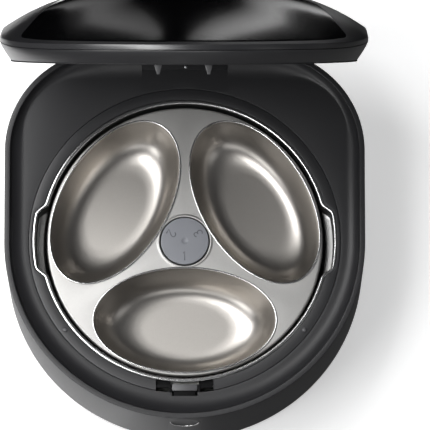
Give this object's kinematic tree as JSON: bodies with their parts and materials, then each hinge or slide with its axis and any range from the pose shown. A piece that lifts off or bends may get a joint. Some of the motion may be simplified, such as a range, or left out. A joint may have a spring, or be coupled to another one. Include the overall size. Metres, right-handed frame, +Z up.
{
  "type": "wet food cat feeder",
  "caption": "Wet food cat feeder: round-fronted body with a hinged wedge lid, cooled well, turning steel tray with oval bowls, push-button latch.",
  "frame": {"origin": "on the floor, under the tray's axis", "axes": "+Z up, -Y towards the front with its push button, +X to the right seen from the front"},
  "size_m": [0.305, 0.3565, 0.4056],
  "materials": {
    "shell_plastic": "matte charcoal moulded",
    "cover_plastic": "matte charcoal moulded",
    "gloss_panel": "piano black",
    "dark_plastic": "matte black moulded",
    "satin_steel": "satin",
    "bright_steel": "bright",
    "cap_plastic": "matte grey moulded",
    "black_rubber": "soft matte",
    "foam": "foam",
    "bare_aluminium": "as machined",
    "circuit_board": "lacquered",
    "white_ceramic": "fired",
    "natural_nylon": "moulded"
  },
  "bodies": {
    "base": {"outer_housing": "shell_plastic", "top_cover": "cover_plastic", "well_ring": "cover_plastic", "base_plate": "dark_plastic", "ring_stud_left": "dark_plastic", "ring_stud_right": "dark_plastic", "fan_frame": "dark_plastic", "power_inlet": "dark_plastic", "latch_guide": "dark_plastic", "hinge_bracket": "dark_plastic", "cooling_well": "bright_steel", "hinge_pin": "bright_steel", "latch_spring": "bright_steel", "base_screw_1": "bright_steel", "base_screw_2": "bright_steel", "base_screw_3": "bright_steel", "base_screw_4": "bright_steel", "rubber_foot_1": "black_rubber", "rubber_foot_2": "black_rubber", "rubber_foot_3": "black_rubber", "rubber_foot_4": "black_rubber", "insulation_shell": "foam", "cold_plate": "bare_aluminium", "heat_sink": "bare_aluminium", "gear_motor": "bare_aluminium", "control_board": "circuit_board", "thermoelectric_module": "white_ceramic", "chassis": "natural_nylon", "hub_bush": "natural_nylon"},
    "lid": {"lid_lower_shell": "shell_plastic", "lid_upper_shell": "shell_plastic", "lid_panel": "gloss_panel", "lid_gasket": "black_rubber", "lid_liner": "cover_plastic", "lid_hook_left": "dark_plastic", "lid_hook_right": "dark_plastic"},
    "turntable": {"turntable_hub": "dark_plastic", "hub_gear": "natural_nylon", "tray_plate": "satin_steel", "bowl_front": "satin_steel", "bowl_right": "satin_steel", "bowl_left": "satin_steel", "centre_cap": "cap_plastic"},
    "pinion": {"drive_pinion": "natural_nylon"},
    "latch": {"latch_button": "shell_plastic", "latch_slider": "cover_plastic"},
    "fan": {"fan_rotor": "dark_plastic"}
  },
  "joints": [
    {"name": "lid_hinge", "type": "hinge", "parent": "base", "child": "lid", "pos_m": [0, 0.161, 0.097], "axis": [1, 0, 0], "range_deg": [0, 74]},
    {"name": "turntable_spin", "type": "hinge", "parent": "base", "child": "turntable", "pos_m": [0, 0, 0.05], "axis": [0, 0, 1], "continuous": true},
    {"name": "pinion_spin", "type": "hinge", "parent": "base", "child": "pinion", "pos_m": [0, -0.04, 0.025], "axis": [0, 0, 1], "continuous": true},
    {"name": "latch_slide", "type": "slide", "parent": "base", "child": "latch", "axis": [0, 1, 0], "range_m": [0, 0.0016], "stiffness_N_per_m": 600, "springref_m": -0.002, "deforming": ["latch_spring"]},
    {"name": "fan_spin", "type": "hinge", "parent": "base", "child": "fan", "pos_m": [0, 0.064, 0.013], "axis": [0, 0, 1], "continuous": true}
  ],
  "couplings": [
    {"joint": "pinion_spin", "follows": "turntable_spin", "ratio": -3}
  ]
}
